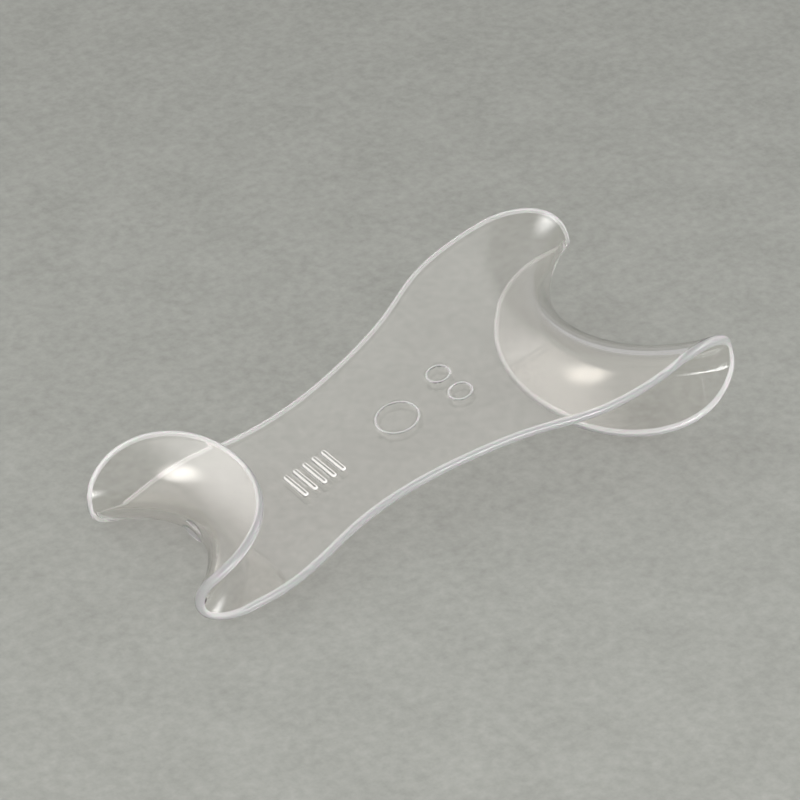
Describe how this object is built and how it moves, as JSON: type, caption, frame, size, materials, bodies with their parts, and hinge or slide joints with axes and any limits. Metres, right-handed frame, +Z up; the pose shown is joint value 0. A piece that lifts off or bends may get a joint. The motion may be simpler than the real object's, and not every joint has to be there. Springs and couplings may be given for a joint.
{
  "type": "cheek retractor",
  "caption": "Double-ended cheek retractor for dental photography, one clear polycarbonate moulding with a small end curled up and a large end curled down.",
  "frame": {"origin": "on the surface that the part lies on, under the middle of its box", "axes": "+X from the small end to the large end, +Z up, and apart from its low marks the part is the same on both sides of Y = 0"},
  "size_m": [0.1254, 0.0638, 0.0261],
  "materials": {
    "clear_polycarbonate": "clear, polished, with a faint pink cast at the edges"
  },
  "bodies": {
    "root": {"handle_plate": "clear_polycarbonate", "small_lip_channel": "clear_polycarbonate", "small_cheek_flange": "clear_polycarbonate", "large_lip_channel": "clear_polycarbonate", "large_cheek_flange": "clear_polycarbonate", "grip_ribs": "clear_polycarbonate", "ejector_rings": "clear_polycarbonate", "gate_scar": "clear_polycarbonate"}
  },
  "joints": []
}
